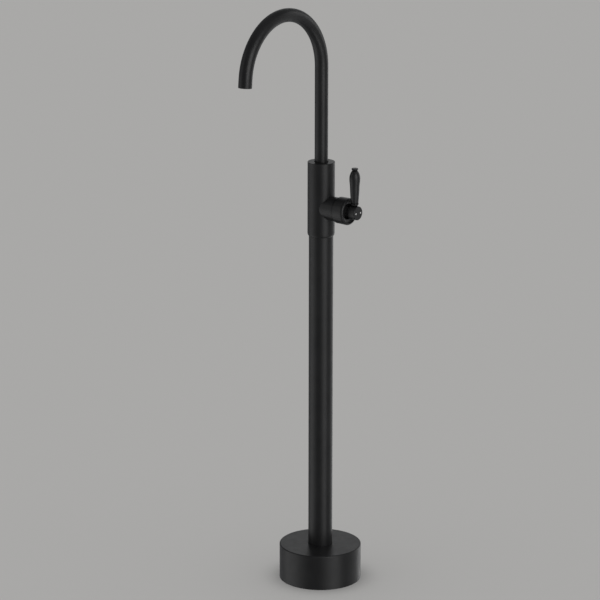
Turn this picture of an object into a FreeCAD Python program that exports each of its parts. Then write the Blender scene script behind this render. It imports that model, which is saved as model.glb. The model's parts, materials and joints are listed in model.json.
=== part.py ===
import FreeCAD, Part
import math
import os

# Floor standing bath filler, in millimetres.
# Origin: on the column's axis, at floor level. +Z is up, the spout points to -Y and the
# side valve with its lever points to +X.

# ---------------------------------------------------------------- driving sizes
# Clearances
FIT = 0.05                # radial gap of pieces that are fixed in each other
RUN = 0.05                # radial gap of pieces that turn or slide in each other
CHAMFER = 1.0             # broken edge of a turned metal piece

# Base cover
BASE_D = 153.0
BASE_H = 66.5
BASE_WALL = 1.5
BASE_TOP = 2.0
BASE_EDGE_R = 2.0
BASE_HOLE_GAP = 0.4       # radial gap between the cover's hole and the column
BASE_COLLAR_WALL = 4.0
BASE_COLLAR_H = 7.0
SEAL_DEPTH = 2.0          # radial thickness of the column's seal ring
SEAL_H = 3.0

# Floor flange
FLANGE_ROOM = 9.0         # radial room between the flange and the base cover's wall
FLANGE_T = 8.0
FLANGE_BOSS_WALL = 7.5
FLANGE_ROOT = 4.0         # chamfer where the boss meets the plate
COLUMN_SEAT = 28.0        # height of the column's foot over the floor
COLUMN_SOCKET = 25.0      # how deep the column stands in the boss
BOLT_EDGE = 14.0          # distance of the bolt circle from the flange's edge
BOLT_HOLE_D = 9.0
BOLT_COUNT = 4
SET_SCREW_D = 6.0
SET_SCREW_L = 9.0
SET_SCREW_COUNT = 3
SET_SCREW_RISE = 12.5     # height of the set screws over the column's foot

# Column
COLUMN_D = 45.0
COLUMN_WALL = 1.5
ADAPTER_GRIP = 25.0       # length of the adapter inside the column
ADAPTER_STEP = 2.0        # radial step from the column's bore to the adapter's thread
ADAPTER_THREAD_L = 18.0

# Supply pipes
RISER_D = 12.0
RISER_WALL = 1.0
RISER_GAP = 0.5           # radial room round the pair of pipes in the adapter
RISER_SOCKET = 14.0
RISER_SEAL_H = 2.4
RISER_SEAL_T = 1.7
UNION_WALL = 1.67
UNION_L = 25.0
UNION_GAP = 0.8           # gap between the two inlets
UNION_LIFT = 1.5          # height of the inlet's mouth over the floor
UNION_GRIP = 10.0
UNION_FLAT_DEPTH = 1.5
UNION_FLAT_L = 9.0        # length of the spanner flats
UNION_FLAT_TOP = 3.0      # distance of the flats from the union's top
INLET_THREAD_D = 16.66
INLET_THREAD_L = 12.0
SPACER_T = 8.0
SPACER_ENDS = 50.0        # how far each spacer lies inside the column's end

# Valve body
BODY_STEP = 2.5           # how far the body stands out from the column
BODY_BOTTOM = 664.0
BODY_H = 138.5
BODY_FOOT_H = 5.5
BODY_FOOT_INSET = 2.3
BODY_TOP_R = 0.5
BODY_WEB = 20.0           # depth of the bore for the adapter
VALVE_RISE = 54.5         # height of the valve's axis over the body's bottom
STUB_WALL = 2.9
STUB_END = 42.5           # distance from the column's axis to the stub's end
WATERWAY_D = 7.0
OUTLET_WAY_D = 11.0
OUTLET_WAY_X = -4.0

# Cartridge, with distances from the column's axis along the valve's axis
CARTRIDGE_D = 35.0
CHAMBER_FLOOR = 12.0
CARTRIDGE_BASE_T = 7.5
CARTRIDGE_SHOULDER = 36.0
CARTRIDGE_NECK_END = 52.0
CARTRIDGE_NECK_WALL = 1.7
HOUSING_WALL = 1.1
HOUSING_SHOULDER_T = 2.0
BASE_SEAL_LIFT = 0.4
BASE_SEAL_T = 1.9
BASE_SEAL_WIDTH = 1.7
DISC_RECESS = 1.5
FIXED_DISC_RIM = 3.0      # width of the base's rim round the fixed disc
FIXED_DISC_T = 4.0
DISC_GAP = 0.05
DISC_SIDE_GAP = 0.6       # room beside the moving disc at each end of its travel
MOVING_DISC_T = 3.5
CARRIER_T = 5.5
PRONG_T = 4.1
BRIDGE_H = 5.0            # height of the moving disc's recess beside the inlets
POOL_D = 11.6             # its round part, at the outlet
BRIDGE_DEPTH = 2.1
SHUT_OVERLAP = 0.4        # how far the closed disc's face overlaps the inlets' edges
INLET_PORT_Y = 6.5
INLET_PORT_Z = 5.0
INLET_PORT_D = 5.6
OUTLET_PORT_Z = -9.0
OUTLET_PORT_D = 7.6
ROTOR_STEP = 6.5          # radial step from the housing to the rotor's shank
ROTOR_FLANGE_STEP = 2.0
ROTOR_END = 51.0
ROTOR_PRONG_Z = 12.0
PIVOT_X = 46.0            # tilt pin's distance from the column's axis
PIVOT_PIN_D = 3.0
PIVOT_PIN_SINK = 0.7      # how far the pin's ends lie inside the rotor's surface
STEM_TIP_X = 29.5         # centre of the ball at the stem's inner end
STEM_BALL_D = 5.2
STEM_NECK_D = 4.4
STEM_SQUARE = 7.0
STEM_SQUARE_X = 36.0
STEM_END = 73.6
STEM_SLACK = 0.6          # room beside the tilted stem in the rotor's slot
POCKET_SLACK = 0.3        # room for the stem's neck in the carrier's pocket
TILT = 18.0               # lever travel from closed to fully open, in degrees

# Cartridge nut and bell cover
NUT_WALL = 1.5            # radial step from the cartridge to the nut's thread
NUT_END = 50.0
NUT_NOTCH = 4.0
BELL_REAR_STEP = 2.4      # how far the bell's rear stands out from the stub
BELL_STEP = 2.8           # how far its widest part does
BELL_REAR_EDGE = 0.6      # chamfer of its rear edge
BELL_RIM_R = 3.8
BELL_END = 67.2
BELL_CLEAR = 0.6          # least gap between the mouth and the tilted hub
MOUTH_X = 62.0            # where the hollow of the mouth ends at the opening for the hub's neck
MOUTH_HOLLOW = (0.74, 0.27)  # the hollow's middle, as shares of its width and its depth
MOUTH_LAND = 2.5          # length of the opening

# Lever
HUB_D = 25.4
HUB_REAR = 69.0
HUB_END = 85.5
HUB_REAR_EDGE_R = 1.5
HUB_EDGE_R = 1.2
HUB_NECK_D = 17.0
HUB_NECK_REAR = 56.5
DOT_D = 3.2
DOT_DEPTH = 0.8
DOT_EDGE = 5.9            # distance of each mark's centre from the hub's edge
LEVER_X = 77.0
LEVER_STUD_D = 6.0
LEVER_STUD_SINK = 8.0
LEVER_STUD_RISE = 17.0
SEAT_R = 3.9
SEAT_SPOT = 0.8           # depth of the flat spot that the lever stands on
FERRULE_R = 7.6
FERRULE_H = 4.9
FERRULE_LIP = 1.7
FERRULE_LIP_SWELL = 0.5   # how far the lip's middle stands out from its edges
FERRULE_BULGE = (0.62, 0.42)  # the bowl's middle, as shares of its widening and its height
GRIP_FOOT_R = 6.9
GRIP_FOOT_EASE = 0.7      # chamfer of the grip's foot over the ferrule
GRIP_WAIST_R = 7.8
GRIP_WAIST_H = 17.7
GRIP_RISE_R = 8.65
GRIP_RISE_H = 32.8
GRIP_BELLY_R = 9.85
GRIP_BELLY_H = 50.8
GRIP_NECK_R = 5.2
GRIP_NECK_H = 65.2
FINIAL_R = 6.1
FINIAL_H = 2.8
FINIAL_NECK = 1.9
FINIAL_NECK_STEP = 0.3    # how far its neck lies inside the grip's
FINIAL_EDGE = 0.7         # how far its rounded side stands out from its faces
FINIAL_PEG_R = 2.0
FINIAL_PEG_L = 8.0
GRUB_D = 4.0
GRUB_L = 7.0
GRUB_X = 71.6

# Spout
SPOUT_D = 24.5
SPOUT_WALL = 1.5
SPOUT_RISE = 176.0        # straight tube over the body, up to the bend
SPOUT_R = 107.5
SPOUT_TURN = 175.0
SPOUT_TAIL = 15.0
SOCKET_DEPTH = 50.0
SPOUT_SINK = 20.5         # depth of the tube's lower end inside the body
BUSH_WALL = 0.9
BUSH_L = 14.5
BUSH_RECESS = 1.5
WASHER_T = 1.0
SPIGOT_WALL = 2.2
SPIGOT_PLUG_L = 18.0
RING_T = 2.0              # depth of an O-ring's groove
RING_W = 2.6
RING_RISES = (8.0, 15.0)  # height of the O-rings over the washer
KEEPER_RISE = 23.0
KEEPER_W = 4.6
KEEPER_DEPTH = 2.6
KEEPER_SCREW_D = 5.0
KEEPER_DOG_D = 3.2
KEEPER_DOG_GAP = 0.6      # room between the dog and the groove's floor
KEEPER_SHOULDER = 0.8     # room between the screw's shoulder and the spigot
KEEPER_RECESS = 1.0

# Aerator, with lengths measured up the tube from its mouth
SLEEVE_WALL = 1.7
SLEEVE_L = 12.0
SLEEVE_RECESS = 0.5
AERATOR_WALL = 1.2
AERATOR_L = 9.0
AERATOR_RECESS = 1.0
AERATOR_SEAL_T = 1.5
AERATOR_SEAL_LAP = 1.0    # how far the seal reaches in past the housing's bore
GRID_SINK = 1.0           # depth of the grid inside the housing's mouth
GRID_T = 2.0
GRID_HOLE_D = 1.9
GRID_BAR = 1.0            # width left between two holes
GRID_RIM = 0.9

# ---------------------------------------------------------------- derived places
BODY_TOP = BODY_BOTTOM + BODY_H
VALVE_Z = BODY_BOTTOM + VALVE_RISE
COLUMN_R = COLUMN_D / 2
COLUMN_BORE_R = COLUMN_R - COLUMN_WALL
UNION_D = INLET_THREAD_D + 2 * UNION_WALL
RISER_PITCH = UNION_D + UNION_GAP
FLANGE_R = BASE_D / 2 - BASE_WALL - FLANGE_ROOM
BOLT_CIRCLE_R = FLANGE_R - BOLT_EDGE
FLANGE_OPENING_R = RISER_PITCH / 2 + UNION_D / 2 + UNION_GAP / 2
ADAPTER_THREAD_R = COLUMN_BORE_R - ADAPTER_STEP
BODY_R = COLUMN_R + BODY_STEP
SPOUT_OUT_R = SPOUT_D / 2
SPOUT_IN_R = SPOUT_OUT_R - SPOUT_WALL
SPIGOT_BORE_R = SPOUT_IN_R - SPIGOT_WALL
SOCKET_FLOOR = BODY_TOP - SOCKET_DEPTH
SPIGOT_FOOT = SOCKET_FLOOR + WASHER_T
TUBE_FOOT = BODY_TOP - SPOUT_SINK
BEND_Z = BODY_TOP + SPOUT_RISE
DISC_FACE = CHAMBER_FLOOR + BASE_SEAL_LIFT + CARTRIDGE_BASE_T - DISC_RECESS
MOVING_FACE = DISC_FACE + FIXED_DISC_T + DISC_GAP
CARRIER_FACE = MOVING_FACE + MOVING_DISC_T
ROTOR_FACE = CARRIER_FACE + CARRIER_T + RUN
STEM_ARM = PIVOT_X - STEM_TIP_X
DISC_TRAVEL = STEM_ARM * math.radians(TILT)
CARTRIDGE_R = CARTRIDGE_D / 2
FIXED_DISC_R = CARTRIDGE_R - FIXED_DISC_RIM
ROTOR_R = CARTRIDGE_R - ROTOR_STEP
ROTOR_FLANGE_R = CARTRIDGE_R - ROTOR_FLANGE_STEP
CARTRIDGE_NECK_R = ROTOR_R + RUN + CARTRIDGE_NECK_WALL
MOVING_DISC_R = CARTRIDGE_R - HOUSING_WALL - DISC_SIDE_GAP - DISC_TRAVEL / 2
DISC_FLAT_Y = ROTOR_FLANGE_R - PRONG_T
NUT_R = CARTRIDGE_R + NUT_WALL
NUT_NECK_R = CARTRIDGE_R
STUB_R = NUT_R + STUB_WALL
HUB_R = HUB_D / 2
HUB_NECK_R = HUB_NECK_D / 2
LEVER_SEAT_Z = VALVE_Z + HUB_R - SEAT_SPOT
HUB_TOP_Z = VALVE_Z + HUB_R
X = FreeCAD.Vector(1, 0, 0)
Y = FreeCAD.Vector(0, 1, 0)
Z = FreeCAD.Vector(0, 0, 1)


def swing(radius, distance):
    """How far a part of the hub reaches from the valve's axis when the lever is fully tilted."""
    turn = math.radians(TILT)
    return radius / math.cos(turn) + (distance - PIVOT_X) * math.tan(turn)


BELL_R = max(STUB_R + BELL_STEP, swing(HUB_R, BELL_END) + BELL_CLEAR + BELL_RIM_R)


# ---------------------------------------------------------------- shape helpers
def at(x, y, z):
    return FreeCAD.Vector(x, y, z)


def outline(start, *moves):
    """Closed face in the (radius, height) half plane.

    A move is an end point for a straight edge, or a (middle, end) pair of points for an arc.
    """
    edges = []
    here = start
    for move in moves + (start,):
        if isinstance(move[0], tuple):
            middle, end = move
            points = [at(radius, 0, height) for radius, height in (here, middle, end)]
            edges.append(Part.Arc(*points).toShape())
        else:
            end = move
            edges.append(Part.LineSegment(at(here[0], 0, here[1]), at(end[0], 0, end[1])).toShape())
        here = end
    return Part.Face(Part.Wire(edges))


def turned(start, *moves):
    """Solid of revolution about Z of an outline."""
    return outline(start, *moves).revolve(at(0, 0, 0), Z, 360)


def tube(inner, outer, low, high):
    """Straight tube about Z."""
    return turned((inner, low), (outer, low), (outer, high), (inner, high))


def rod(radius, start, end):
    """Cylinder from one point to another."""
    way = end.sub(start)
    return Part.makeCylinder(radius, way.Length, start, way)


def key_socket(screw, mouth, inward):
    """Six-sided socket for a key: half the screw's diameter across its flats, and as deep."""
    reach = screw / 2 / math.sqrt(3)
    turns = [math.radians(60 * number) for number in range(6)]
    ring = [at(reach * math.cos(turn), reach * math.sin(turn), 0) for turn in turns]
    prism = Part.Face(Part.makePolygon(ring + ring[:1])).extrude(Z * screw / 2)
    prism.Placement = FreeCAD.Placement(mouth, FreeCAD.Rotation(Z, inward))
    return prism


def block(low, high):
    """Box between two corners."""
    size = high.sub(low)
    return Part.makeBox(size.x, size.y, size.z, low)


def on_valve(shape):
    """Carries a shape that was turned about Z onto the valve's axis, where height becomes X."""
    placed = shape.copy()
    placed.rotate(at(0, 0, 0), Y, 90)
    placed.translate(at(0, 0, VALVE_Z))
    return placed


def valve_point(distance, across, up):
    """A point given by its distance along the valve's axis, sideways and above that axis."""
    return at(distance, across, VALVE_Z + up)


def corner(centre_r, centre_h, radius, angle):
    """Point of a round about a centre; the angle is measured from the outward direction."""
    turn = math.radians(angle)
    return (centre_r + radius * math.cos(turn), centre_h + radius * math.sin(turn))


def inset_arc(radius, height, inset, rise):
    """Arc that leaves a wall of this radius tangentially and comes in by inset over rise."""
    bend = (rise ** 2 + inset ** 2) / (2 * inset)
    half = bend - math.sqrt(bend ** 2 - (rise / 2) ** 2)
    return (radius - half, height - rise / 2), (radius - inset, height - rise)


def save(name, shape):
    shape.exportStep("parts/" + name + ".step")
    print(name, len(shape.Solids), "solid", round(shape.Volume, 1), "mm3", shape.isValid())


# ---------------------------------------------------------------- base and column
def base_cover():
    outer = BASE_D / 2
    inner = outer - BASE_WALL
    hole = COLUMN_R + BASE_HOLE_GAP
    collar = hole + BASE_COLLAR_WALL
    under = BASE_H - BASE_TOP
    centre = (outer - BASE_EDGE_R, BASE_H - BASE_EDGE_R)
    edge = (corner(*centre, BASE_EDGE_R, 45), corner(*centre, BASE_EDGE_R, 90))
    shell = turned((inner, 0), (outer, 0), (outer, BASE_H - BASE_EDGE_R), edge, (hole, BASE_H),
                   (hole, under - BASE_COLLAR_H), (collar, under - BASE_COLLAR_H),
                   (collar, under), (inner, under))
    groove_low = under - BASE_COLLAR_H / 2 - SEAL_H / 2 - FIT
    groove_r = COLUMN_R + SEAL_DEPTH + 2 * FIT
    groove = tube(hole - 1, groove_r, groove_low, groove_low + SEAL_H + 2 * FIT)
    return shell.cut(groove)


def base_cover_seal():
    middle = BASE_H - BASE_TOP - BASE_COLLAR_H / 2
    inner = COLUMN_R + FIT
    outer = COLUMN_R + SEAL_DEPTH + FIT
    lip = SEAL_H / 5
    low = middle - SEAL_H / 2
    high = middle + SEAL_H / 2
    return turned((inner, middle - lip), (inner + lip, low), (outer, low), (outer, high),
                  (inner + lip, high), (inner, middle + lip))


def flange_screw_places():
    """Direction of each set screw, from the column's axis."""
    step = 360.0 / SET_SCREW_COUNT
    turns = [math.radians(90 + step * number) for number in range(SET_SCREW_COUNT)]
    return [at(math.cos(turn), math.sin(turn), 0) for turn in turns]


def flange_screw(direction, radius, start):
    """Radial cylinder in the flange's boss at the set screws' height."""
    centre = at(0, 0, COLUMN_SEAT + SET_SCREW_RISE)
    return rod(radius, centre + direction * start, centre + direction * (start + SET_SCREW_L))


def floor_flange():
    outer = FLANGE_R
    seat = COLUMN_R + FIT
    boss = seat + FLANGE_BOSS_WALL
    boss_top = COLUMN_SEAT + COLUMN_SOCKET
    plate = turned((FLANGE_OPENING_R, 0), (outer - CHAMFER, 0), (outer, CHAMFER),
                   (outer, FLANGE_T - CHAMFER), (outer - CHAMFER, FLANGE_T),
                   (boss + FLANGE_ROOT, FLANGE_T), (boss, FLANGE_T + FLANGE_ROOT),
                   (boss, boss_top - CHAMFER), (boss - CHAMFER, boss_top), (seat, boss_top),
                   (seat, COLUMN_SEAT), (FLANGE_OPENING_R, COLUMN_SEAT))
    step = 360.0 / BOLT_COUNT
    for number in range(BOLT_COUNT):
        turn = math.radians(step / 2 + step * number)
        place = at(math.cos(turn), math.sin(turn), 0) * BOLT_CIRCLE_R
        plate = plate.cut(rod(BOLT_HOLE_D / 2, place - Z, place + Z * (FLANGE_T + 1)))
    for direction in flange_screw_places():
        plate = plate.cut(flange_screw(direction, SET_SCREW_D / 2 + FIT, COLUMN_R))
    return plate


def flange_set_screws():
    screws = []
    for direction in flange_screw_places():
        screw = flange_screw(direction, SET_SCREW_D / 2, COLUMN_R + FIT)
        head = at(0, 0, COLUMN_SEAT + SET_SCREW_RISE) + direction * (COLUMN_R + FIT + SET_SCREW_L)
        screws.append(screw.cut(key_socket(SET_SCREW_D, head, direction * -1)))
    return Part.makeCompound(screws)


def column_tube():
    return tube(COLUMN_BORE_R, COLUMN_R, COLUMN_SEAT, BODY_BOTTOM)


def column_adapter():
    """Ring fixed in the column's top end, with the thread that the valve body screws on to."""
    bore = RISER_PITCH / 2 + RISER_D / 2 + RISER_GAP
    grip = COLUMN_BORE_R - FIT
    thread = ADAPTER_THREAD_R
    top = BODY_BOTTOM + ADAPTER_THREAD_L
    return turned((bore, BODY_BOTTOM - ADAPTER_GRIP), (grip, BODY_BOTTOM - ADAPTER_GRIP),
                  (grip, BODY_BOTTOM), (thread, BODY_BOTTOM), (thread, top - CHAMFER),
                  (thread - CHAMFER, top), (bore, top))


# ---------------------------------------------------------------- supply pipes
def riser_place(side, height):
    """Point on a supply pipe's axis; hot is on side -1 and cold on side +1."""
    return at(0, side * RISER_PITCH / 2, height)


def riser(side):
    foot = riser_place(side, UNION_LIFT + UNION_L - UNION_GRIP)
    top = riser_place(side, BODY_BOTTOM + BODY_WEB + RISER_SOCKET - 2 * FIT)
    radius = RISER_D / 2
    return rod(radius, foot, top).cut(rod(radius - RISER_WALL, foot - Z, top + Z))


def inlet_union(side):
    """Female threaded inlet at the foot of a supply pipe, open to the floor."""
    foot = riser_place(side, UNION_LIFT)
    top = riser_place(side, UNION_LIFT + UNION_L)
    shell = rod(UNION_D / 2, foot, top)
    shell = shell.cut(rod(RISER_D / 2 - RISER_WALL, foot - Z, top + Z))
    shell = shell.cut(rod(INLET_THREAD_D / 2, foot - Z, foot + Z * INLET_THREAD_L))
    shell = shell.cut(rod(RISER_D / 2 + FIT, top - Z * UNION_GRIP, top + Z))
    flat = UNION_D / 2 - UNION_FLAT_DEPTH
    for left, right in ((-UNION_D, -flat), (flat, UNION_D)):
        low = top + at(left, -UNION_D, -UNION_FLAT_TOP - UNION_FLAT_L)
        high = top + at(right, UNION_D, -UNION_FLAT_TOP)
        shell = shell.cut(block(low, high))
    return shell


def riser_spacer(height):
    disc = rod(COLUMN_BORE_R - FIT, at(0, 0, height), at(0, 0, height + SPACER_T))
    for side in (-1, 1):
        foot = riser_place(side, height)
        disc = disc.cut(rod(RISER_D / 2 + FIT, foot - Z, foot + Z * (SPACER_T + 1)))
    return disc


def riser_seal_low():
    return BODY_BOTTOM + BODY_WEB + RISER_SOCKET / 2 - RISER_SEAL_H / 2


def riser_seals():
    rings = []
    for side in (-1, 1):
        foot = riser_place(side, riser_seal_low() + FIT)
        top = foot + Z * (RISER_SEAL_H - 2 * FIT)
        ring = rod(RISER_D / 2 + RISER_SEAL_T, foot, top)
        rings.append(ring.cut(rod(RISER_D / 2 + FIT, foot - Z, top + Z)))
    return Part.makeCompound(rings)


# ---------------------------------------------------------------- valve body
def body_blank():
    """Outside of the body: an upright barrel with the valve's stub on its side."""
    foot = BODY_BOTTOM + BODY_FOOT_H
    middle, low = inset_arc(BODY_R, foot, BODY_FOOT_INSET, BODY_FOOT_H)
    centre = (BODY_R - BODY_TOP_R, BODY_TOP - BODY_TOP_R)
    top_edge = (corner(*centre, BODY_TOP_R, 45), corner(*centre, BODY_TOP_R, 90))
    barrel = turned((0, BODY_BOTTOM), low, (middle, (BODY_R, foot)),
                    (BODY_R, BODY_TOP - BODY_TOP_R), top_edge, (0, BODY_TOP))
    stub = rod(STUB_R, valve_point(0, 0, 0), valve_point(STUB_END, 0, 0))
    return barrel.fuse(stub)


def supply_ways():
    """Bores for the adapter, the supply pipes and the two ways into the cartridge chamber."""
    web = BODY_BOTTOM + BODY_WEB
    bore = rod(ADAPTER_THREAD_R + FIT, at(0, 0, BODY_BOTTOM - 1), at(0, 0, web))
    ways = [bore]
    for side in (-1, 1):
        ways.append(rod(RISER_D / 2 + FIT, riser_place(side, web - 1),
                        riser_place(side, web + RISER_SOCKET)))
        ways.append(rod(RISER_D / 2 + RISER_SEAL_T + FIT, riser_place(side, riser_seal_low()),
                        riser_place(side, riser_seal_low() + RISER_SEAL_H)))
        bend = riser_place(side, VALVE_Z + INLET_PORT_Z + WATERWAY_D / 2)
        ways.append(rod(WATERWAY_D / 2, riser_place(side, web), bend))
        port = valve_point(CHAMBER_FLOOR + 1, side * INLET_PORT_Y, INLET_PORT_Z)
        start = at(0, side * RISER_PITCH / 2, port.z)
        ways.append(rod(INLET_PORT_D / 2, start, port))
    return ways


def outlet_ways():
    """Way from the cartridge chamber to the spout's socket."""
    back = at(OUTLET_WAY_X, 0, VALVE_Z + OUTLET_PORT_Z)
    port = valve_point(CHAMBER_FLOOR + 1, 0, OUTLET_PORT_Z)
    foot = back - Z * (OUTLET_PORT_D / 2)
    top = at(OUTLET_WAY_X, 0, SOCKET_FLOOR + 1)
    return [rod(OUTLET_PORT_D / 2, back, port), rod(OUTLET_WAY_D / 2, foot, top)]


def chamber():
    """Stepped bore of the cartridge, with the nut's thread at its mouth."""
    barrel = CARTRIDGE_R + FIT
    thread = NUT_R + FIT
    return on_valve(turned((0, CHAMBER_FLOOR), (barrel, CHAMBER_FLOOR), (barrel, CARTRIDGE_SHOULDER),
                           (thread, CARTRIDGE_SHOULDER), (thread, STUB_END + 1), (0, STUB_END + 1)))


def spout_socket():
    """Stepped bore in the body's top for the spout's spigot and its guide bush."""
    bore = SPOUT_OUT_R + RUN
    bush = bore + BUSH_WALL + FIT
    ledge = BODY_TOP - BUSH_RECESS - BUSH_L
    return turned((0, SOCKET_FLOOR), (bore, SOCKET_FLOOR), (bore, ledge), (bush, ledge),
                  (bush, BODY_TOP + 1), (0, BODY_TOP + 1))


def keeper_axis(distance):
    """Point on the axis of the screw that keeps the spout, at the back of the body."""
    return at(0, distance, SPIGOT_FOOT + KEEPER_RISE)


def valve_body():
    body = body_blank()
    for way in supply_ways() + outlet_ways() + [chamber(), spout_socket()]:
        body = body.cut(way)
    body = body.cut(rod(KEEPER_SCREW_D / 2 + FIT, keeper_axis(SPOUT_OUT_R - 1), keeper_axis(BODY_R + 1)))
    return body.removeSplitter()


# ---------------------------------------------------------------- cartridge
# Each waterway's place across and above the valve's axis, and its bore
PORTS = [(-INLET_PORT_Y, INLET_PORT_Z, INLET_PORT_D), (INLET_PORT_Y, INLET_PORT_Z, INLET_PORT_D),
         (0, OUTLET_PORT_Z, OUTLET_PORT_D)]


def ports(start, end):
    """The three waterways of the fixed pieces, along the valve's axis."""
    return [rod(bore / 2, valve_point(start, across, up), valve_point(end, across, up))
            for across, up, bore in PORTS]


def base_seal(port, start, end, extra):
    """Ring about a port, between two places along the valve's axis."""
    across, up, bore = port
    low = valve_point(start, across, up)
    high = valve_point(end, across, up)
    ring = rod(bore / 2 + BASE_SEAL_WIDTH + extra, low, high)
    return ring.cut(rod(bore / 2 + FIT - extra, low - X, high + X))


def cartridge_base():
    rear = CHAMBER_FLOOR + BASE_SEAL_LIFT
    front = rear + CARTRIDGE_BASE_T
    rim = FIXED_DISC_R + FIT
    base = on_valve(turned((0, rear), (CARTRIDGE_R, rear), (CARTRIDGE_R, front),
                           (rim, front), (rim, DISC_FACE), (0, DISC_FACE)))
    for port in PORTS:
        groove = base_seal(port, rear - 1, CHAMBER_FLOOR + BASE_SEAL_T + FIT, FIT)
        base = base.cut(groove)
    for way in ports(rear - 1, front + 1):
        base = base.cut(way)
    return base


def cartridge_base_seals():
    rings = [base_seal(port, CHAMBER_FLOOR, CHAMBER_FLOOR + BASE_SEAL_T, 0) for port in PORTS]
    return Part.makeCompound(rings)


def fixed_ceramic_disc():
    disc = on_valve(tube(0, FIXED_DISC_R, DISC_FACE, DISC_FACE + FIXED_DISC_T))
    for way in ports(DISC_FACE - 1, DISC_FACE + FIXED_DISC_T + 1):
        disc = disc.cut(way)
    return disc


def flatted_disc(start, end):
    """Disc with two flats that the rotor's prongs hold; closed, it lies half its travel low."""
    low = valve_point(start, 0, -DISC_TRAVEL / 2)
    high = valve_point(end, 0, -DISC_TRAVEL / 2)
    disc = rod(MOVING_DISC_R, low, high)
    half = at(0, DISC_FLAT_Y, 2 * MOVING_DISC_R)
    return disc.common(block(low - half, high + half))


def moving_ceramic_disc():
    """Its recess bridges the outlet port and, once it slides up, the inlet ports."""
    disc = flatted_disc(MOVING_FACE, CARRIER_FACE)
    edge = INLET_PORT_Z - INLET_PORT_D / 2 - SHUT_OVERLAP
    reach = INLET_PORT_Y + INLET_PORT_D / 2
    start = MOVING_FACE - 1
    end = MOVING_FACE + BRIDGE_DEPTH
    bridge = block(valve_point(start, -reach, edge - BRIDGE_H), valve_point(end, reach, edge))
    pool = rod(POOL_D / 2, valve_point(start, 0, edge - POOL_D / 2), valve_point(end, 0, edge - POOL_D / 2))
    return disc.cut(bridge).cut(pool)


def disc_carrier():
    carrier = flatted_disc(CARRIER_FACE, CARRIER_FACE + CARRIER_T)
    half = STEM_BALL_D / 2 + RUN
    reach = half + POCKET_SLACK
    pocket = block(valve_point(STEM_TIP_X - half, -half, -reach),
                   valve_point(CARRIER_FACE + CARRIER_T + 1, half, reach))
    return carrier.cut(pocket)


def cartridge_housing():
    rear = DISC_FACE + DISC_RECESS
    outer = CARTRIDGE_R
    neck = CARTRIDGE_NECK_R
    bore = ROTOR_R + RUN
    under = CARTRIDGE_SHOULDER - HOUSING_SHOULDER_T
    return on_valve(turned((outer - HOUSING_WALL, rear), (outer, rear), (outer, CARTRIDGE_SHOULDER),
                           (neck, CARTRIDGE_SHOULDER), (neck, CARTRIDGE_NECK_END),
                           (bore, CARTRIDGE_NECK_END), (bore, under), (outer - HOUSING_WALL, under)))


def rotor_slot():
    """Room for the stem to tilt: down in front of the pin and up behind it."""
    half = STEM_SQUARE / 2 + RUN
    slope = math.tan(math.radians(TILT))
    front = half + slope * (ROTOR_END - PIVOT_X) + STEM_SLACK
    back = DISC_TRAVEL + max(STEM_BALL_D / 2, STEM_NECK_D / 2) + STEM_SLACK
    foremost = block(valve_point(PIVOT_X - STEM_SQUARE / 2, -half, -front),
                     valve_point(ROTOR_END + 1, half, half + STEM_SLACK))
    rearmost = block(valve_point(ROTOR_FACE - 1, -half, -half - STEM_SLACK),
                     valve_point(PIVOT_X, half, back))
    return [foremost, rearmost]


def cartridge_rotor():
    """Turns in the housing's neck; its prongs turn the disc carrier and its pin holds the stem."""
    shank = ROTOR_R
    flange = ROTOR_FLANGE_R
    under = CARTRIDGE_SHOULDER - HOUSING_SHOULDER_T - RUN
    rotor = on_valve(turned((0, ROTOR_FACE), (flange, ROTOR_FACE), (flange, under), (shank, under),
                            (shank, ROTOR_END - CHAMFER), (shank - CHAMFER, ROTOR_END), (0, ROTOR_END)))
    ring = on_valve(tube(0, flange, CARRIER_FACE + RUN, ROTOR_FACE))
    near = DISC_FLAT_Y + RUN
    for left, right in ((-flange, -near), (near, flange)):
        low = valve_point(CARRIER_FACE, left, -ROTOR_PRONG_Z / 2)
        high = valve_point(ROTOR_FACE, right, ROTOR_PRONG_Z / 2)
        rotor = rotor.fuse(ring.common(block(low, high)))
    for slot in rotor_slot():
        rotor = rotor.cut(slot)
    half = ROTOR_R - PIVOT_PIN_SINK + FIT
    hole_foot = valve_point(PIVOT_X, -half, 0)
    pin_hole = rod(PIVOT_PIN_D / 2 + FIT, hole_foot, valve_point(PIVOT_X, 2 * ROTOR_R, 0))
    return rotor.cut(pin_hole).removeSplitter()


def stem_pin():
    half = ROTOR_R - PIVOT_PIN_SINK
    return rod(PIVOT_PIN_D / 2, valve_point(PIVOT_X, -half, 0), valve_point(PIVOT_X, half, 0))


def cartridge_stem():
    """Square spindle that the hub is clamped to, with a ball that pushes the disc carrier."""
    half = STEM_SQUARE / 2
    ball = Part.makeSphere(STEM_BALL_D / 2, valve_point(STEM_TIP_X, 0, 0))
    neck = rod(STEM_NECK_D / 2, valve_point(STEM_TIP_X, 0, 0), valve_point(STEM_SQUARE_X + 1, 0, 0))
    shank = block(valve_point(STEM_SQUARE_X, -half, -half), valve_point(STEM_END, half, half))
    eye = rod(PIVOT_PIN_D / 2 + RUN, valve_point(PIVOT_X, -half - 1, 0), valve_point(PIVOT_X, half + 1, 0))
    return ball.fuse([neck, shank]).cut(eye).removeSplitter()


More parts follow.
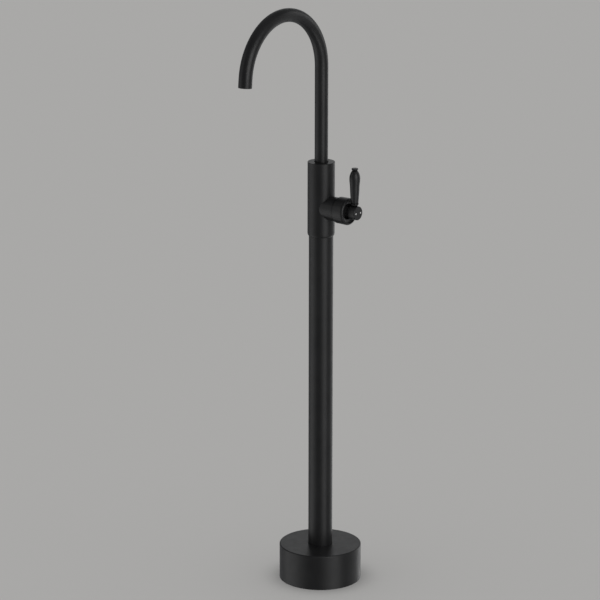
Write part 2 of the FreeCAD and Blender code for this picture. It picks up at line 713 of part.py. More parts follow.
def cartridge_nut():
    bore = CARTRIDGE_NECK_R + FIT
    thread = NUT_R
    neck = NUT_NECK_R
    thread_end = STUB_END - 2 * FIT
    nut = on_valve(turned((bore, CARTRIDGE_SHOULDER), (thread, CARTRIDGE_SHOULDER), (thread, thread_end),
                          (neck, thread_end), (neck, NUT_END), (bore, NUT_END)))
    half = NUT_NOTCH / 2
    for low, high in ((at(-1, -half, -neck), at(1, half, -bore)), (at(-1, -half, bore), at(1, half, neck))):
        centre = valve_point(NUT_END, 0, 0)
        nut = nut.cut(block(centre + low + at(-1, 0, -1), centre + high + Z))
    return nut


def bell_cover():
    """Round cover of the valve, with a rolled rim round a hollow mouth for the hub's neck."""
    bore = NUT_NECK_R + FIT
    rear = STUB_R + BELL_REAR_STEP
    crest = BELL_R - BELL_RIM_R
    rim = (crest, BELL_END - BELL_RIM_R)
    rim_arc = (corner(*rim, BELL_RIM_R, 45), corner(*rim, BELL_RIM_R, 90))
    mouth = swing(HUB_NECK_R, MOUTH_X) + BELL_CLEAR
    out, along = MOUTH_HOLLOW
    hollow = (mouth + (crest - mouth) * out, MOUTH_X + (BELL_END - MOUTH_X) * along)
    land = MOUTH_X - MOUTH_LAND
    edge = BELL_REAR_EDGE
    return on_valve(turned((bore, STUB_END), (rear - edge, STUB_END), (rear, STUB_END + edge),
                           (BELL_R, rim[1]), rim_arc, (hollow, (mouth, MOUTH_X)),
                           (mouth, land), (bore, land)))


# ---------------------------------------------------------------- lever
def lever_hub():
    """Short drum with a neck on the stem; the lever stands on it and the marks lie in its end face."""
    neck = HUB_NECK_R
    rear = (HUB_R - HUB_REAR_EDGE_R, HUB_REAR + HUB_REAR_EDGE_R)
    rear_edge = (corner(*rear, HUB_REAR_EDGE_R, -45), corner(*rear, HUB_REAR_EDGE_R, 0))
    front = (HUB_R - HUB_EDGE_R, HUB_END - HUB_EDGE_R)
    front_edge = (corner(*front, HUB_EDGE_R, 45), corner(*front, HUB_EDGE_R, 90))
    foot = HUB_NECK_REAR
    hub = on_valve(turned((0, foot), (neck - CHAMFER, foot), (neck, foot + CHAMFER),
                          (neck, HUB_REAR), (rear[0], HUB_REAR), rear_edge,
                          (HUB_R, front[1]), front_edge, (0, HUB_END)))
    half = STEM_SQUARE / 2 + FIT
    hub = hub.cut(block(valve_point(foot - 1, -half, -half), valve_point(STEM_END + FIT, half, half)))
    seat = at(LEVER_X, 0, LEVER_SEAT_Z)
    hub = hub.cut(rod(SEAT_R + FIT, seat, seat + Z * HUB_R))
    hub = hub.cut(rod(LEVER_STUD_D / 2 + FIT, seat - Z * (LEVER_STUD_SINK + FIT), seat + Z))
    hub = hub.cut(rod(GRUB_D / 2 + FIT, valve_point(GRUB_X, 0, 0), valve_point(GRUB_X, 0, -HUB_R - 1)))
    for side in (-1, 1):
        face = valve_point(HUB_END, side * (HUB_R - DOT_EDGE), 0)
        hub = hub.cut(rod(DOT_D / 2 + FIT, face - X * DOT_DEPTH, face + X))
    return hub


def index_dot(side):
    face = valve_point(HUB_END, side * (HUB_R - DOT_EDGE), 0)
    return rod(DOT_D / 2, face - X * DOT_DEPTH, face)


def hub_grub_screw():
    tip = valve_point(GRUB_X, 0, -STEM_SQUARE / 2 - FIT)
    head = tip - Z * GRUB_L
    screw = rod(GRUB_D / 2, tip, head)
    return screw.cut(key_socket(GRUB_D, head, Z))


def upright(start, *moves):
    """Solid turned about the lever's axis; heights are measured from the hub's top."""
    shape = turned(start, *moves)
    shape.translate(at(LEVER_X, 0, HUB_TOP_Z))
    return shape


def lever_stud():
    foot = at(LEVER_X, 0, LEVER_SEAT_Z - LEVER_STUD_SINK)
    return rod(LEVER_STUD_D / 2, foot, at(LEVER_X, 0, HUB_TOP_Z + LEVER_STUD_RISE))


def lever_ferrule():
    """Bowl with a lip that joins the hub and the grip."""
    bore = LEVER_STUD_D / 2 + FIT
    lip_low = FERRULE_H - FERRULE_LIP
    lip_edge = FERRULE_R - FERRULE_LIP_SWELL
    out, up = FERRULE_BULGE
    bowl = ((SEAT_R + (FERRULE_R - SEAT_R) * out, lip_low * up), (lip_edge, lip_low))
    lip = ((FERRULE_R, lip_low + FERRULE_LIP / 2), (lip_edge, FERRULE_H))
    return upright((bore, -SEAT_SPOT), (SEAT_R, -SEAT_SPOT), (SEAT_R, FIT), bowl, lip, (bore, FERRULE_H))


def lever_grip():
    """Baluster grip: a slim waist that swells to a belly under a narrow neck."""
    swell_h = (GRIP_RISE_H + GRIP_BELLY_H) / 2
    swell_r = (GRIP_RISE_R + GRIP_BELLY_R) / 2
    belly_low = inset_arc(GRIP_BELLY_R, 0, GRIP_BELLY_R - swell_r, GRIP_BELLY_H - swell_h)[0][0]
    rise_high = GRIP_RISE_R + GRIP_BELLY_R - belly_low
    shoulder = inset_arc(GRIP_BELLY_R, 0, GRIP_BELLY_R - GRIP_NECK_R, GRIP_NECK_H - GRIP_BELLY_H)[0][0]
    stud_r = LEVER_STUD_D / 2 + FIT
    peg_r = FINIAL_PEG_R + FIT
    peg_foot = GRIP_NECK_H - FINIAL_PEG_L - FIT
    stud_top = LEVER_STUD_RISE + FIT
    foot = (GRIP_FOOT_R, FERRULE_H + GRIP_FOOT_EASE)
    return upright((stud_r, FERRULE_H), (GRIP_FOOT_R - GRIP_FOOT_EASE, FERRULE_H), foot,
                   ((GRIP_WAIST_R, GRIP_WAIST_H), (GRIP_RISE_R, GRIP_RISE_H)),
                   ((rise_high, (GRIP_RISE_H + swell_h) / 2), (swell_r, swell_h)),
                   ((belly_low, (swell_h + GRIP_BELLY_H) / 2), (GRIP_BELLY_R, GRIP_BELLY_H)),
                   ((shoulder, (GRIP_BELLY_H + GRIP_NECK_H) / 2), (GRIP_NECK_R, GRIP_NECK_H)),
                   (peg_r, GRIP_NECK_H), (peg_r, peg_foot), (0, peg_foot), (0, stud_top), (stud_r, stud_top))


def lever_finial():
    """Flat button on a short neck, with a peg in the grip."""
    button = GRIP_NECK_H + FINIAL_NECK
    top = button + FINIAL_H
    rim = FINIAL_R - FINIAL_EDGE
    neck = GRIP_NECK_R - FINIAL_NECK_STEP
    side = ((FINIAL_R, button + FINIAL_H / 2), (rim, top))
    return upright((0, GRIP_NECK_H - FINIAL_PEG_L), (FINIAL_PEG_R, GRIP_NECK_H - FINIAL_PEG_L),
                   (FINIAL_PEG_R, GRIP_NECK_H), (neck, GRIP_NECK_H),
                   (neck, button), (rim, button), side, (0, top))


# ---------------------------------------------------------------- spout
def spout_tube():
    """Gooseneck: a straight rise, one bend and a short tail, all of one tube."""
    rise = tube(SPOUT_IN_R, SPOUT_OUT_R, TUBE_FOOT, BEND_Z)
    centre = at(0, -SPOUT_R, BEND_Z)
    section = Part.Face([Part.Wire(Part.makeCircle(SPOUT_OUT_R, at(0, 0, BEND_Z), Z)),
                         Part.Wire(Part.makeCircle(SPOUT_IN_R, at(0, 0, BEND_Z), Z))])
    bend = section.revolve(centre, X, SPOUT_TURN)
    tail = on_tail(tube(SPOUT_IN_R, SPOUT_OUT_R, 0, SPOUT_TAIL))
    return rise.fuse([bend, tail]).removeSplitter()


def on_tail(shape):
    """Carries a shape turned about Z to the spout's mouth; height runs up into the tube."""
    turn = math.radians(SPOUT_TURN)
    end = at(0, -SPOUT_R + SPOUT_R * math.cos(turn), BEND_Z + SPOUT_R * math.sin(turn))
    mouth = end + at(0, -math.sin(turn), math.cos(turn)) * SPOUT_TAIL
    placed = shape.copy()
    placed.rotate(at(0, 0, 0), X, SPOUT_TURN - 180)
    placed.translate(mouth)
    return placed


def ring_groove(rise, width, depth):
    low = SPIGOT_FOOT + rise - width / 2
    return tube(SPOUT_OUT_R - depth, SPOUT_OUT_R + 1, low, low + width)


def spout_spigot():
    """Plug in the tube's foot that turns in the body's socket."""
    bore = SPIGOT_BORE_R
    plug = SPOUT_IN_R - FIT
    spigot = turned((bore, SPIGOT_FOOT), (SPOUT_OUT_R, SPIGOT_FOOT), (SPOUT_OUT_R, TUBE_FOOT),
                    (plug, TUBE_FOOT), (plug, TUBE_FOOT + SPIGOT_PLUG_L), (bore, TUBE_FOOT + SPIGOT_PLUG_L))
    for rise in RING_RISES:
        spigot = spigot.cut(ring_groove(rise, RING_W + 2 * FIT, RING_T))
    return spigot.cut(ring_groove(KEEPER_RISE, KEEPER_W, KEEPER_DEPTH))


def spout_o_rings():
    """Two squeezed rings: flat where they seal, rounded off above and below."""
    inner = SPOUT_OUT_R - RING_T + FIT
    outer = SPOUT_OUT_R + RUN / 2
    rings = []
    for rise in RING_RISES:
        low = SPIGOT_FOOT + rise - RING_W / 2
        high = low + RING_W
        ease = RING_W / 4
        rings.append(turned((inner, low + ease), (inner + ease, low), (outer - ease, low),
                            (outer, low + ease), (outer, high - ease), (outer - ease, high),
                            (inner + ease, high), (inner, high - ease)))
    return Part.makeCompound(rings)


def spout_bush():
    high = BODY_TOP - BUSH_RECESS
    inner = SPOUT_OUT_R + RUN
    return tube(inner, inner + BUSH_WALL, high - BUSH_L, high)


def spout_thrust_washer():
    return tube(SPIGOT_BORE_R, SPOUT_OUT_R - FIT, SOCKET_FLOOR, SPIGOT_FOOT)


def spout_retaining_screw():
    """Grub screw whose dog runs in the spigot's groove and lets the spout turn freely."""
    tip = keeper_axis(SPOUT_OUT_R - KEEPER_DEPTH + KEEPER_DOG_GAP)
    shoulder = keeper_axis(SPOUT_OUT_R + KEEPER_SHOULDER)
    head = keeper_axis(BODY_R - KEEPER_RECESS)
    screw = rod(KEEPER_DOG_D / 2, tip, shoulder).fuse(rod(KEEPER_SCREW_D / 2, shoulder, head))
    return screw.cut(key_socket(KEEPER_SCREW_D, head, Y * -1)).removeSplitter()


def aerator_sleeve():
    outer = SPOUT_IN_R - FIT
    return on_tail(tube(outer - SLEEVE_WALL, outer, SLEEVE_RECESS, SLEEVE_RECESS + SLEEVE_L))


def aerator_housing():
    outer = SPOUT_IN_R - 2 * FIT - SLEEVE_WALL
    return on_tail(tube(outer - AERATOR_WALL, outer, AERATOR_RECESS, AERATOR_RECESS + AERATOR_L))


def aerator_seal():
    outer = SPOUT_IN_R - 2 * FIT - SLEEVE_WALL
    low = AERATOR_RECESS + AERATOR_L
    inner = outer - AERATOR_WALL - AERATOR_SEAL_LAP
    return on_tail(tube(inner, outer, low, low + AERATOR_SEAL_T))


def aerator_grid():
    """Plate with rings of round holes; each ring holds six more than the one inside it."""
    radius = SPOUT_IN_R - 3 * FIT - SLEEVE_WALL - AERATOR_WALL
    low = AERATOR_RECESS + GRID_SINK
    plate = tube(0, radius, low, low + GRID_T)
    pitch = GRID_HOLE_D + GRID_BAR
    rings = int((radius - GRID_RIM - GRID_HOLE_D / 2) / pitch)
    holes = [at(0, 0, 0)]
    for ring in range(1, rings + 1):
        for number in range(6 * ring):
            turn = math.radians(360.0 * number / (6 * ring))
            holes.append(at(math.cos(turn), math.sin(turn), 0) * (ring * pitch))
    for hole in holes:
        plate = plate.cut(rod(GRID_HOLE_D / 2, hole + Z * (low - 1), hole + Z * (low + GRID_T + 1)))
    return on_tail(plate)


# ---------------------------------------------------------------- all pieces
def main():
    os.makedirs("parts", exist_ok=True)
    pieces = {
        "floor_flange": floor_flange(),
        "flange_set_screws": flange_set_screws(),
        "base_cover": base_cover(),
        "base_cover_seal": base_cover_seal(),
        "column_tube": column_tube(),
        "column_adapter": column_adapter(),
        "lower_riser_spacer": riser_spacer(COLUMN_SEAT + SPACER_ENDS),
        "upper_riser_spacer": riser_spacer(BODY_BOTTOM - SPACER_ENDS - SPACER_T),
        "hot_riser": riser(-1),
        "cold_riser": riser(1),
        "hot_inlet_union": inlet_union(-1),
        "cold_inlet_union": inlet_union(1),
        "riser_seals": riser_seals(),
        "valve_body": valve_body(),
        "cartridge_base": cartridge_base(),
        "cartridge_base_seals": cartridge_base_seals(),
        "cartridge_housing": cartridge_housing(),
        "fixed_ceramic_disc": fixed_ceramic_disc(),
        "moving_ceramic_disc": moving_ceramic_disc(),
        "disc_carrier": disc_carrier(),
        "cartridge_rotor": cartridge_rotor(),
        "stem_pin": stem_pin(),
        "cartridge_stem": cartridge_stem(),
        "cartridge_nut": cartridge_nut(),
        "bell_cover": bell_cover(),
        "lever_hub": lever_hub(),
        "hub_grub_screw": hub_grub_screw(),
        "hot_index_dot": index_dot(-1),
        "cold_index_dot": index_dot(1),
        "lever_stud": lever_stud(),
        "lever_ferrule": lever_ferrule(),
        "lever_grip": lever_grip(),
        "lever_finial": lever_finial(),
        "spout_bush": spout_bush(),
        "spout_thrust_washer": spout_thrust_washer(),
        "spout_retaining_screw": spout_retaining_screw(),
        "spout_tube": spout_tube(),
        "spout_spigot": spout_spigot(),
        "spout_o_rings": spout_o_rings(),
        "aerator_sleeve": aerator_sleeve(),
        "aerator_housing": aerator_housing(),
        "aerator_seal": aerator_seal(),
        "aerator_grid": aerator_grid(),
    }
    for name, shape in pieces.items():
        save(name, shape)


main()
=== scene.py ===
"""Floor standing bath filler in a matt black coat: finishes, fine detail, floor, light and camera."""
import bmesh
import bpy
import json
import math
from mathutils import Matrix, Vector


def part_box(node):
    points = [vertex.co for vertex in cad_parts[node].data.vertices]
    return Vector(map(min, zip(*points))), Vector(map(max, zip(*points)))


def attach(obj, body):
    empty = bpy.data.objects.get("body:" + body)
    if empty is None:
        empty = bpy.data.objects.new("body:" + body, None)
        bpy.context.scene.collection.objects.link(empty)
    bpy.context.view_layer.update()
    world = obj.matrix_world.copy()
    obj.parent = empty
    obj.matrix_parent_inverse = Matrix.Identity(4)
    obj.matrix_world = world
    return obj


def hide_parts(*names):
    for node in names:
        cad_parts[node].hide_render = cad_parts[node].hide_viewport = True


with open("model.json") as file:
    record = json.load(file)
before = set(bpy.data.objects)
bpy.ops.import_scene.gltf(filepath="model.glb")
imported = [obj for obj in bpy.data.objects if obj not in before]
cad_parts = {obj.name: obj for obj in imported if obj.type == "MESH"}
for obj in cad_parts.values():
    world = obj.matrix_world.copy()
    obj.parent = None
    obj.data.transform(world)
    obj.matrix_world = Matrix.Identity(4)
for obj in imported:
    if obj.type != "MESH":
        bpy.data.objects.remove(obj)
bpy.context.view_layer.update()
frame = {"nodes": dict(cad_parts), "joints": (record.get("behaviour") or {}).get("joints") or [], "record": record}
NODES = frame["nodes"]
BODY_OF = {node: body for body, names in frame["record"]["behaviour"]["bodies"].items() for node in names}
SLOT_OF = {part["node"]: part["material_slot"] for part in frame["record"]["subparts"]}
# A point on the valve's axis, in metres
VALVE_CENTRE = next(joint["pos_m"] for joint in frame["joints"] if joint["name"] == "temperature_turn")
MM = 0.001                  # sizes are in millimetres wherever a comment doesn't say metres
UP = Vector((0, 0, 1))
BACK = Vector((0, 1, 0))    # away from the spout


def new_object(name, data):
    made = bpy.data.objects.new(name, data)
    bpy.context.scene.collection.objects.link(made)
    return made


def level(azimuth):
    """Level direction away from the column: 0 degrees is the spout's side and 90 the lever's."""
    turn = math.radians(azimuth)
    return Vector((math.sin(turn), -math.cos(turn), 0))


def box_of(node):
    """Lowest and highest corner of a CAD node, in millimetres."""
    low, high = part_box(node)
    return low / MM, high / MM


# ---------------------------------------------------------------- view
FRAME_PIXELS = 600          # the photograph is square
FOCAL_PIXELS = 2967.0
SENSOR = 36.0
CAMERA_AZIMUTH = 38.64      # degrees
CAMERA_PITCH = 15.765       # degrees below the horizon
CAMERA_ROLL = 0.051         # degrees
CAMERA_DISTANCE = 5.257     # metres, level, from the column's axis
CAMERA_HEIGHT = 2.025       # metres
CAMERA_SHIFT = 0.03846      # metres from the column to the picture's middle, which lies left of it


def add_camera():
    pitch = math.radians(CAMERA_PITCH)
    back = level(CAMERA_AZIMUTH)
    right = level(CAMERA_AZIMUTH + 90)
    forward = -back * math.cos(pitch) - UP * math.sin(pitch)
    turn = Matrix((right, right.cross(forward), -forward)).transposed().to_4x4()
    roll = Matrix.Rotation(math.radians(CAMERA_ROLL), 4, "Z")
    place = back * CAMERA_DISTANCE - right * CAMERA_SHIFT + UP * CAMERA_HEIGHT
    data = bpy.data.cameras.new("camera")
    data.sensor_width = SENSOR
    data.lens = SENSOR * FOCAL_PIXELS / FRAME_PIXELS
    camera = new_object("camera", data)
    camera.matrix_world = Matrix.Translation(place) @ turn @ roll
    bpy.context.scene.camera = camera


# ---------------------------------------------------------------- light and floor
# Soft panels turned to the column's axis, in three rows; the middles of two rows lie below the floor.
# The photographed coat mirrors light from below too, down to its foot, so the floor lets those rows through.
PANEL_DISTANCE = 4.0        # metres, level, from the column's axis
PANEL_WIDTH = 1.8           # metres
PANEL_HEIGHT = 2.9          # metres
HIGH = 1.8                  # heights of the rows' middles, in metres
LOW = -1.1
DEEP = -4.0
PANELS = [                  # name, degrees round from the camera to its right, row, and power in watts
    ("left_rear_deep", -110, DEEP, 12),
    ("left_rear_low", -105, LOW, 16),
    ("left_high", -80, HIGH, 15),
    ("left_low", -80, LOW, 23),
    ("left_deep", -75, DEEP, 30),
    ("left_front_low", -55, LOW, 10),
    ("key_high", 25, HIGH, 68),
    ("key_low", 25, LOW, 16),
    ("key_side_high", 45, HIGH, 45),
    ("key_side_low", 45, LOW, 28),
    ("key_side_deep", 45, DEEP, 47),
    ("right_low", 95, LOW, 6),
    ("rim_side_high", 120, HIGH, 22),
    ("rim_side_low", 120, LOW, 5),
    ("rim_deep", 135, DEEP, 12),
    ("rim_low", 145, LOW, 17),
    ("behind_deep", 170, DEEP, 4),
    ("behind_high", 175, HIGH, 7),
]
CEILING_STRENGTH = 1.3      # even light from above, which makes the floor pale
CEILING_SPREAD = 70         # degrees across
ROOM_STRENGTH = 0.26
ROOM_COLOUR = (0.96, 0.98, 1.0, 1)
FLOOR_REACH = 30.0          # metres
FLOOR_COLOUR = (0.60, 0.59, 0.575, 1)
FLOOR_ROUGHNESS = 0.8


def add_light(name, kind):
    light = new_object(name, bpy.data.lights.new(name, kind))
    light.visible_camera = False
    return light


def add_panel(lit, name, azimuth, middle, power):
    away = level(CAMERA_AZIMUTH + azimuth)
    light = add_light(name, "AREA")
    light.data.shape = "RECTANGLE"
    light.data.size = PANEL_WIDTH
    light.data.size_y = PANEL_HEIGHT
    light.data.energy = power
    light.light_linking.receiver_collection = lit
    light.location = away * PANEL_DISTANCE + UP * middle
    light.rotation_euler = away.to_track_quat("Z", "Y").to_euler()


def add_ceiling():
    light = add_light("ceiling", "SUN")
    light.data.energy = CEILING_STRENGTH
    light.data.angle = math.radians(CEILING_SPREAD)
    light.visible_glossy = False


def add_room():
    world = bpy.data.worlds.new("studio")
    world.use_nodes = True
    background = world.node_tree.nodes["Background"]
    background.inputs["Color"].default_value = ROOM_COLOUR
    background.inputs["Strength"].default_value = ROOM_STRENGTH
    bpy.context.scene.world = world


def add_floor():
    """Plain pale floor, which the coat doesn't mirror and which keeps no light from it."""
    corners = [(x * FLOOR_REACH, y * FLOOR_REACH, 0) for x, y in ((-1, -1), (1, -1), (1, 1), (-1, 1))]
    mesh = bpy.data.meshes.new("floor")
    mesh.from_pydata(corners, [], [(0, 1, 2, 3)])
    material, _, _ = new_material("pale_floor", Base_Color=FLOOR_COLOUR, Roughness=FLOOR_ROUGHNESS,
                                  Specular_IOR_Level=0.0)
    mesh.materials.append(material)
    floor = new_object("floor", mesh)
    floor.visible_glossy = False
    floor.visible_shadow = False
    return floor


def all_but(thing):
    """Collection that limits a light to everything except the thing."""
    lit = bpy.data.collections.new("all_but_" + thing.name)
    lit.objects.link(thing)
    lit.collection_objects[0].light_linking.link_state = "EXCLUDE"
    return lit


# ---------------------------------------------------------------- shader nodes
# Numbers of the mix node's sockets for colours, whose names it gives to other sockets as well
MIX_FACTOR, MIX_FIRST, MIX_SECOND = 0, 6, 7
MIX_RESULT = 2


def add(tree, kind, settings=None, inputs=None):
    """One shader node with its settings; an input is a number, a colour or another node's output."""
    made = tree.nodes.new(kind)
    for key, value in (settings or {}).items():
        setattr(made, key, value)
    for key, value in (inputs or {}).items():
        if isinstance(value, bpy.types.NodeSocket):
            tree.links.new(value, made.inputs[key])
        else:
            made.inputs[key].default_value = value
    return made


def maths(tree, operation, *values):
    """Result of one sum on numbers or other nodes' outputs."""
    return add(tree, "ShaderNodeMath", {"operation": operation}, dict(enumerate(values))).outputs[0]


def new_material(name, **plain):
    """A material whose even values are set on its shader; the rest is linked by wire."""
    material = bpy.data.materials.new(name)
    material.use_nodes = True
    tree = material.node_tree
    shader = tree.nodes["Principled BSDF"]
    for key, value in plain.items():
        shader.inputs[key.replace("_", " ")].default_value = value
    return material, tree, shader


def wire(tree, shader, colour, roughness, normal):
    """Links the three values that vary over the surface."""
    tree.links.new(colour, shader.inputs["Base Color"])
    tree.links.new(roughness, shader.inputs["Roughness"])
    tree.links.new(normal, shader.inputs["Normal"])


def place_of(tree, stretch=None):
    """Place on the object; a stretch under 1 along an axis draws noise out into lines along it."""
    place = add(tree, "ShaderNodeTexCoord").outputs["Object"]
    if stretch is None:
        return place
    return add(tree, "ShaderNodeMapping", None, {"Vector": place, "Scale": stretch}).outputs["Vector"]


def about_axis(tree, axis, centre):
    """Distance from the axis through centre, and distance along it, in metres."""
    moved = add(tree, "ShaderNodeVectorMath", {"operation": "SUBTRACT"}, {0: place_of(tree), 1: centre})
    split = add(tree, "ShaderNodeSeparateXYZ", None, {0: moved.outputs[0]})
    across = [split.outputs[name] for name in "XYZ" if name != axis]
    flat = add(tree, "ShaderNodeCombineXYZ", None, {"X": across[0], "Y": across[1]})
    radius = add(tree, "ShaderNodeVectorMath", {"operation": "LENGTH"}, {0: flat.outputs[0]})
    return radius.outputs["Value"], split.outputs[axis]


def noise(tree, place, size, detail):
    """Noise whose patches measure about size millimetres."""
    inputs = {"Vector": place, "Scale": 1 / (size * MM), "Detail": detail}
    return add(tree, "ShaderNodeTexNoise", None, inputs).outputs["Fac"]


def between(tree, value, low, high, start=0.3, end=0.7):
    """low where the value is start and high where it is end."""
    inputs = {"Value": value, "From Min": start, "From Max": end, "To Min": low, "To Max": high}
    return add(tree, "ShaderNodeMapRange", None, inputs).outputs["Result"]


def ramp(tree, value, stops):
    """Colour that runs from stop to stop; each stop is a value and a colour."""
    made = add(tree, "ShaderNodeValToRGB", None, {"Fac": value})
    elements = made.color_ramp.elements
    while len(elements) < len(stops):
        elements.new(0.5)       # anywhere between the first two; it is placed below
    for element, (position, colour) in zip(elements, stops):
        element.position = position
        element.color = (*colour, 1)
    return made.outputs["Color"]


def painted(tree, mask, colour, paint):
    """The colour where the mask is 0, and the paint where it is 1."""
    inputs = {MIX_FACTOR: mask, MIX_FIRST: colour, MIX_SECOND: (*paint, 1)}
    return add(tree, "ShaderNodeMix", {"data_type": "RGBA"}, inputs).outputs[MIX_RESULT]


def within(tree, value, low, high, soft):
    """1 where a value in metres lies between low and high, in millimetres, and 0 from soft outside them."""
    half = (high - low) / 2
    away = maths(tree, "ABSOLUTE", maths(tree, "SUBTRACT", value, (low + high) / 2 * MM))
    return between(tree, away, 1.0, 0.0, half * MM, (half + soft) * MM)


def bump(tree, height, depth, strength, over=None):
    """Relief whose depth is in millimetres; it can lie over another relief."""
    inputs = {"Height": height, "Distance": depth * MM, "Strength": strength}
    if over is not None:
        inputs["Normal"] = over
    return add(tree, "ShaderNodeBump", None, inputs).outputs["Normal"]


# ---------------------------------------------------------------- finishes
LOWER, UPPER = 0, 1         # the two corners of a node's box
# Painted shade: dark lines in the coat, where the shade in a joint or on a step is narrower than a pixel of the
# photograph. Each is an axis, the corner of the node's box that it is measured from, its start and end from there,
# and its depth up to 1.
PAINTED_SHADE_LINES = {
    "bell_cover": [("X", LOWER, 0.5, 1.3, 0.35), ("X", UPPER, -4.6, -3.6, 0.5)],
    "valve_body": [("X", UPPER, -2.5, 0.0, 0.35)],
    "lever_grip": [("Z", LOWER, 0.0, 1.2, 1.0)],
    "lever_finial": [("Z", UPPER, -6.1, -3.3, 1.0)],
    "lever_ferrule": [("Z", LOWER, 0.0, 0.9, 1.0)],
}
PAINTED_SHADE_COLOUR = (0.001, 0.001, 0.001)
PAINTED_SHADE_SOFT = 0.15            # width over which a line fades out
# Painted light: surfaces inside the cover's mouth, painted a lighter grey to stand in for light in that shaded
# hollow: its start and end from the node's rear, and its greatest distance from the valve's axis
PAINTED_LIGHT_ZONES = {"bell_cover": (5.5, 22.5, 19.5), "lever_hub": (0.0, 12.6, 12.5)}
PAINTED_LIGHT_COLOUR = (0.026, 0.026, 0.0265)
PAINTED_LIGHT_SOFT = 1.0
# Turned metals: colour and roughness where stained, then where clean
METALS = {
    "brass": ((0.40, 0.285, 0.12), 0.36, (0.74, 0.58, 0.31), 0.20),
    "steel": ((0.36, 0.36, 0.37), 0.38, (0.62, 0.62, 0.63), 0.22),
    "blackened": ((0.05, 0.05, 0.05), 0.55, (0.10, 0.098, 0.095), 0.40),
}
STAINED, CLEAN = 0.7, 1.3   # range of the sum of two noises
# The photograph shows nothing pale in the mouth, so the nut and the shell behind it are dark.
BLACKENED = ("cartridge_nut",)
DARK_SHELL = ("cartridge_housing", "cartridge_rotor")
TURNING_AXIS = {"cartridge_nut": "X", "cartridge_stem": "X", "stem_pin": "Y", "spout_retaining_screw": "Y"}


def painted_shade_mask(tree, place, node):
    """The depth of the node's painted shade lines on them, and 0 elsewhere."""
    split = add(tree, "ShaderNodeSeparateXYZ", None, {0: place})
    mask = 0.0
    for axis, corner, start, end, depth in PAINTED_SHADE_LINES[node]:
        base = box_of(node)[corner]["XYZ".index(axis)]
        line = within(tree, split.outputs[axis], base + start, base + end, PAINTED_SHADE_SOFT)
        mask = maths(tree, "MAXIMUM", maths(tree, "MULTIPLY", line, depth), mask)
    return mask


def painted_light_mask(tree, place, node):
    """1 where the node takes its painted light, and 0 elsewhere."""
    start, end, radius = PAINTED_LIGHT_ZONES[node]
    rear = box_of(node)[LOWER].x
    split = add(tree, "ShaderNodeSeparateXYZ", None, {0: place})
    deep = within(tree, split.outputs["X"], rear + start, rear + end, PAINTED_LIGHT_SOFT)
    distance, _ = about_axis(tree, "X", VALVE_CENTRE)
    inner = between(tree, distance, 1.0, 0.0, radius * MM, (radius + PAINTED_LIGHT_SOFT) * MM)
    return maths(tree, "MULTIPLY", deep, inner)


def black_coat(node=None):
    """Matt powder coat: soot black, softly mottled, with fine grain over a low orange peel."""
    name = "matt_black_coat" if node is None else "matt_black_coat_of_" + node
    material, tree, shader = new_material(name, Specular_IOR_Level=0.22)
    place = place_of(tree)
    mottle = noise(tree, place, size=35, detail=4)
    colour = ramp(tree, mottle, [(0.32, (0.0048, 0.0048, 0.0050)), (0.68, (0.0078, 0.0078, 0.0081))])
    roughness = between(tree, noise(tree, place, size=12, detail=3), 0.36, 0.42)
    # painted shade: dark lines that stand in for the shade in joints and on steps
    if node in PAINTED_SHADE_LINES:
        mask = painted_shade_mask(tree, place, node)
        colour = painted(tree, mask, colour, PAINTED_SHADE_COLOUR)
        tree.links.new(mask, shader.inputs["Metallic"])     # painted shade: a black metal mirrors nothing, so the line shows no reflection
    # painted light: a lighter grey inside the cover's mouth, which stands in for light in that shaded hollow
    if node in PAINTED_LIGHT_ZONES:
        colour = painted(tree, painted_light_mask(tree, place, node), colour, PAINTED_LIGHT_COLOUR)
    peel = bump(tree, noise(tree, place, size=3, detail=1), depth=0.06, strength=0.30)
    grain = noise(tree, place, size=0.45, detail=2)
    wire(tree, shader, colour, roughness, bump(tree, grain, depth=0.02, strength=0.35, over=peel))
    return material


def turned_metal(node):
    """Metal from a lathe: rings round its own axis, a little stained."""
    slot = SLOT_OF[node]
    dark, dark_rough, light, light_rough = METALS["blackened" if node in BLACKENED else slot]
    material, tree, shader = new_material(slot + "_of_" + node, Metallic=1.0)
    low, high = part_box(node)
    radius, along = about_axis(tree, TURNING_AXIS.get(node, "Z"), (low + high) / 2)
    turned = add(tree, "ShaderNodeCombineXYZ", None, {"X": radius, "Y": along}).outputs[0]
    ring = noise(tree, turned, size=0.35, detail=2)
    stain = noise(tree, place_of(tree), size=8, detail=4)
    shade = between(tree, maths(tree, "ADD", ring, stain), 0.0, 1.0, STAINED, CLEAN)
    colour = ramp(tree, shade, [(0.0, dark), (1.0, light)])
    roughness = between(tree, shade, dark_rough, light_rough, 0.0, 1.0)
    wire(tree, shader, colour, roughness, bump(tree, ring, depth=0.03, strength=0.4))
    return material


def copper_pipe():
    """Drawn copper: lines along the pipe, with light oxide blushes."""
    material, tree, shader = new_material("drawn_copper", Metallic=1.0)
    line = noise(tree, place_of(tree, (1.0, 1.0, 0.02)), size=0.6, detail=2)
    blush = noise(tree, place_of(tree), size=22, detail=5)
    colour = ramp(tree, blush, [(0.30, (0.40, 0.19, 0.115)), (0.52, (0.70, 0.375, 0.235)),
                                (0.72, (0.78, 0.45, 0.30))])
    roughness = between(tree, blush, 0.42, 0.24)
    wire(tree, shader, colour, roughness, bump(tree, line, depth=0.02, strength=0.35))
    return material


def rubber():
    """Moulded black rubber with a dry bloom."""
    material, tree, shader = new_material("moulded_rubber", Specular_IOR_Level=0.35)
    place = place_of(tree)
    bloom = noise(tree, place, size=4, detail=5)
    colour = ramp(tree, bloom, [(0.35, (0.012, 0.012, 0.012)), (0.75, (0.032, 0.032, 0.033))])
    roughness = between(tree, bloom, 0.55, 0.80)
    grain = noise(tree, place, size=0.3, detail=3)
    wire(tree, shader, colour, roughness, bump(tree, grain, depth=0.03, strength=0.5))
    return material


